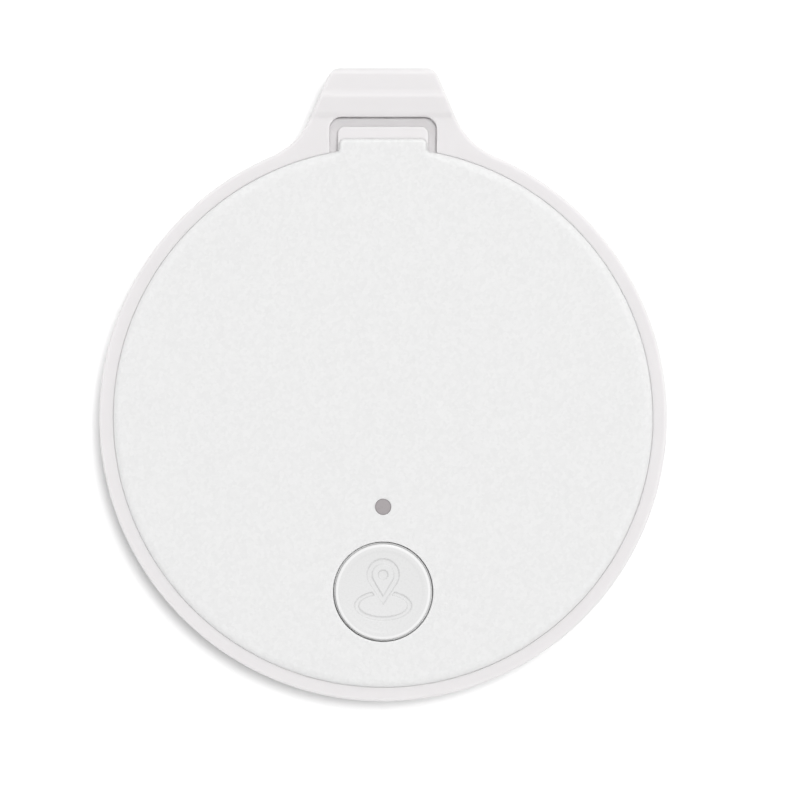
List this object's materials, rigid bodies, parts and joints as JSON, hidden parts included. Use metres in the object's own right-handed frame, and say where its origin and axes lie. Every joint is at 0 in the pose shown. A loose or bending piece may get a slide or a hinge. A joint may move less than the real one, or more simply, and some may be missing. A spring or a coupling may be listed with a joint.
{
  "type": "bluetooth tracker tag",
  "caption": "Round white tracker tag with a key-ring bail, a pry-off textured front cover, a press button and a coin cell inside.",
  "frame": {"origin": "centre of the flat back face, on the axis of the round body", "axes": "+Z out of the front face, +Y from the body's centre towards the bail, +X to the right seen from the front"},
  "size_m": [0.038, 0.0424, 0.0074],
  "materials": {
    "shell_white": "smooth satin",
    "face_white": "fine sparkle grain",
    "button_white": "smooth satin",
    "pipe_grey": "translucent grey",
    "silicone_grey": "soft matt",
    "foam_grey": "open foam",
    "board_green": "solder mask over fibreglass",
    "holder_black": "moulded",
    "chip_black": "moulded epoxy",
    "ceramic_tan": "fired",
    "ceramic_white": "fired",
    "ferrite": "fired ferrite",
    "led_body": "clear over phosphor",
    "cell_steel": "fine turned",
    "can_steel": "stamped",
    "spring_nickel": "nickel plated",
    "lithium": "dull soft metal",
    "cathode_black": "pressed powder",
    "piezo_brass": "rolled sheet",
    "piezo_silver": "silvered ceramic",
    "gasket_nylon": "moulded",
    "screw_steel": "plated"
  },
  "bodies": {
    "case_body": {"rear_case": "shell_white", "switch_body": "chip_black", "switch_cover_plate": "can_steel", "switch_dome": "spring_nickel", "circuit_board": "board_green", "ble_chip": "chip_black", "crystal_32mhz": "can_steel", "crystal_32khz": "can_steel", "chip_antenna": "ceramic_white", "boost_coil": "ferrite", "driver_transistor": "chip_black", "status_led": "led_body", "inductor_rf": "ceramic_white", "capacitor_1": "ceramic_tan", "capacitor_2": "ceramic_tan", "capacitor_3": "ceramic_tan", "capacitor_4": "ceramic_tan", "resistor_1": "chip_black", "resistor_2": "chip_black", "resistor_3": "chip_black", "board_screw_1": "screw_steel", "board_screw_2": "screw_steel", "board_screw_3": "screw_steel", "battery_can": "cell_steel", "battery_gasket": "gasket_nylon", "battery_cap": "cell_steel", "battery_anode": "lithium", "battery_separator": "gasket_nylon", "battery_cathode": "cathode_black", "battery_holder": "holder_black", "battery_negative_contact": "spring_nickel", "battery_positive_contact_1": "spring_nickel", "battery_positive_contact_2": "spring_nickel", "piezo_adhesive_ring": "foam_grey", "piezo_brass_disc": "piezo_brass", "piezo_ceramic": "piezo_silver", "piezo_contact_rim": "spring_nickel", "piezo_contact_centre": "spring_nickel"},
    "cover": {"front_cover": "face_white", "light_pipe": "pipe_grey", "seal_ring": "silicone_grey", "battery_pad": "foam_grey"},
    "button": {"button_cap": "button_white"},
    "plunger": {"switch_plunger": "holder_black"}
  },
  "joints": [
    {"name": "cover_lift", "type": "slide", "parent": "case_body", "child": "cover", "axis": [0, 0, 1], "range_m": [0, 0.012]},
    {"name": "button_press", "type": "slide", "parent": "cover", "child": "button", "axis": [0, 0, -1], "range_m": [0, 0.0003], "stiffness_N_per_m": 2000},
    {"name": "plunger_press", "type": "slide", "parent": "case_body", "child": "plunger", "axis": [0, 0, -1], "range_m": [0, 0.0003]}
  ],
  "couplings": [
    {"joint": "plunger_press", "follows": "button_press", "ratio": 1}
  ]
}
